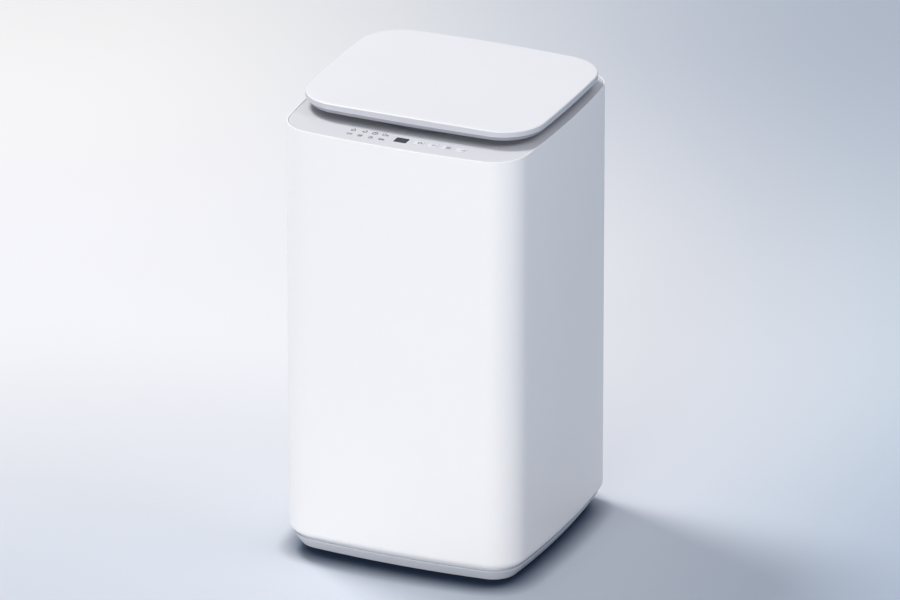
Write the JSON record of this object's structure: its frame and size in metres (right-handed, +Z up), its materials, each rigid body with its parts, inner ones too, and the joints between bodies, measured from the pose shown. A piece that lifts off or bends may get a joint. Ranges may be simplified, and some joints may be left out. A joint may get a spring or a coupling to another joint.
{
  "type": "shoe washer",
  "caption": "Small top-loading shoe washer with a floating hinged lid, touch keys, a hung tub, perforated drum and a brush-column agitator.",
  "frame": {"origin": "middle of the footprint, on the floor that the feet stand on", "axes": "+Z up, the front with the keys faces -Y, +X to the right seen from the front"},
  "size_m": [0.3898, 0.3899, 0.711],
  "materials": {
    "cabinet_white": "satin moulded ABS",
    "plinth_grey": "fine matt moulded",
    "foot_rubber": "matt",
    "deck_grey": "fine satin moulded",
    "bright_steel": "ground",
    "dark_plastic": "moulded",
    "display_glass": "smoked acrylic",
    "inner_plastic": "moulded polypropylene",
    "circuit_board": "coated board",
    "lid_white": "satin moulded ABS",
    "lid_grey": "fine matt moulded",
    "key_white": "satin",
    "tub_plastic": "moulded polypropylene",
    "spring_steel": "oiled",
    "zinc_steel": "zinc plated",
    "cast_aluminium": "die cast",
    "copper_winding": "enamelled wire on laminations",
    "belt_rubber": "matt",
    "drum_steel": "polished perforated sheet",
    "brush_plastic": "moulded polypropylene",
    "bristle": "nylon bristles"
  },
  "bodies": {
    "cabinet": {"cabinet_shell": "cabinet_white", "base_plinth": "plinth_grey", "rubber_feet": "foot_rubber", "top_deck": "deck_grey", "mouth_ring": "deck_grey", "lid_bumpers": "foot_rubber", "hinge_pins": "bright_steel", "lid_switch": "dark_plastic", "display_window": "display_glass", "control_tray": "inner_plastic", "control_board": "circuit_board", "rear_panel": "plinth_grey", "rear_screws": "bright_steel", "inlet_valve": "inner_plastic", "cord_gland": "dark_plastic", "drain_elbow": "dark_plastic", "run_capacitor": "inner_plastic", "suspension_shelves": "inner_plastic", "suspension_rods": "bright_steel"},
    "levelling_foot": {"levelling_foot": "foot_rubber"},
    "lid": {"lid_top": "lid_white", "lid_liner": "lid_grey", "lid_magnet": "bright_steel"},
    "power_key": {"power_key": "key_white"},
    "start_key": {"start_key": "key_white"},
    "program_key": {"program_key": "key_white"},
    "level_key": {"level_key": "key_white"},
    "tub": {"outer_tub": "tub_plastic", "tub_cover": "tub_plastic", "suspension_cups": "dark_plastic", "suspension_springs": "spring_steel", "support_plate": "zinc_steel", "clutch_housing": "cast_aluminium", "shaft_bearings": "spring_steel", "motor_housing": "cast_aluminium", "motor_stator": "copper_winding", "drive_belt": "belt_rubber", "drain_valve_body": "inner_plastic", "drain_bellows": "belt_rubber", "traction_motor": "dark_plastic"},
    "basket": {"basket_wall": "drum_steel", "basket_floor": "tub_plastic", "balance_ring": "tub_plastic", "spin_tube": "bright_steel", "brush_holders": "brush_plastic", "strip_bristles": "bristle", "filter_rails": "tub_plastic"},
    "lint_filter": {"lint_filter": "brush_plastic"},
    "agitator": {"pulsator": "brush_plastic", "brush_core": "brush_plastic", "column_bristles": "bristle", "column_cap": "brush_plastic", "agitator_shaft": "bright_steel", "drive_pulley": "cast_aluminium"},
    "motor_rotor": {"motor_rotor": "spring_steel", "motor_pulley": "spring_steel"},
    "traction_rod": {"traction_rod": "bright_steel", "drain_plunger": "belt_rubber"},
    "clutch_lever": {"clutch_lever": "zinc_steel"},
    "clutch_sleeve": {"clutch_sleeve": "spring_steel"}
  },
  "joints": [
    {"name": "lid_hinge", "type": "hinge", "parent": "cabinet", "child": "lid", "pos_m": [0, 0.1689, 0.699], "axis": [-1, 0, 0], "range_deg": [0, 95]},
    {"name": "levelling_foot_turn", "type": "hinge", "parent": "cabinet", "child": "levelling_foot", "pos_m": [0.13, -0.13, 0], "axis": [0, 0, 1], "range_deg": [-360, 360]},
    {"name": "power_key_press", "type": "slide", "parent": "cabinet", "child": "power_key", "axis": [0, 0, -1], "range_m": [0, 0.0008], "stiffness_N_per_m": 900, "springref_m": -0.0006},
    {"name": "start_key_press", "type": "slide", "parent": "cabinet", "child": "start_key", "axis": [0, 0, -1], "range_m": [0, 0.0008], "stiffness_N_per_m": 900, "springref_m": -0.0006},
    {"name": "program_key_press", "type": "slide", "parent": "cabinet", "child": "program_key", "axis": [0, 0, -1], "range_m": [0, 0.0008], "stiffness_N_per_m": 900, "springref_m": -0.0006},
    {"name": "level_key_press", "type": "slide", "parent": "cabinet", "child": "level_key", "axis": [0, 0, -1], "range_m": [0, 0.0008], "stiffness_N_per_m": 900, "springref_m": -0.0006},
    {"name": "tub_bounce", "type": "slide", "parent": "cabinet", "child": "tub", "axis": [0, 0, 1], "range_m": [-0.016, 0.006], "stiffness_N_per_m": 6400, "springref_m": 0.0236, "deforming": ["suspension_springs", "drain_bellows"]},
    {"name": "basket_spin", "type": "hinge", "parent": "tub", "child": "basket", "pos_m": [0, 0.01, 0.2], "axis": [0, 0, 1], "continuous": true},
    {"name": "lint_filter_slide", "type": "slide", "parent": "basket", "child": "lint_filter", "axis": [0, 0, 1], "range_m": [0, 0.012]},
    {"name": "agitator_spin", "type": "hinge", "parent": "tub", "child": "agitator", "pos_m": [0, 0.01, 0.2], "axis": [0, 0, 1], "continuous": true},
    {"name": "motor_spin", "type": "hinge", "parent": "tub", "child": "motor_rotor", "pos_m": [0, -0.108, 0.1], "axis": [0, 0, 1], "continuous": true},
    {"name": "traction_pull", "type": "slide", "parent": "tub", "child": "traction_rod", "axis": [-1, 0, 0], "range_m": [0, 0.008], "stiffness_N_per_m": 400, "springref_m": -0.004},
    {"name": "clutch_lever_turn", "type": "hinge", "parent": "tub", "child": "clutch_lever", "pos_m": [0, 0.06, 0.1], "axis": [0, 0, 1], "range_deg": [0, 10.4]},
    {"name": "clutch_sleeve_shift", "type": "slide", "parent": "tub", "child": "clutch_sleeve", "axis": [0, 0, -1], "range_m": [0, 0.00405]}
  ],
  "couplings": [
    {"joint": "motor_spin", "follows": "agitator_spin", "ratio": 3.825},
    {"joint": "clutch_lever_turn", "follows": "traction_pull", "rad_per_m": 22.222},
    {"joint": "clutch_sleeve_shift", "follows": "traction_pull", "ratio": 0.5}
  ]
}
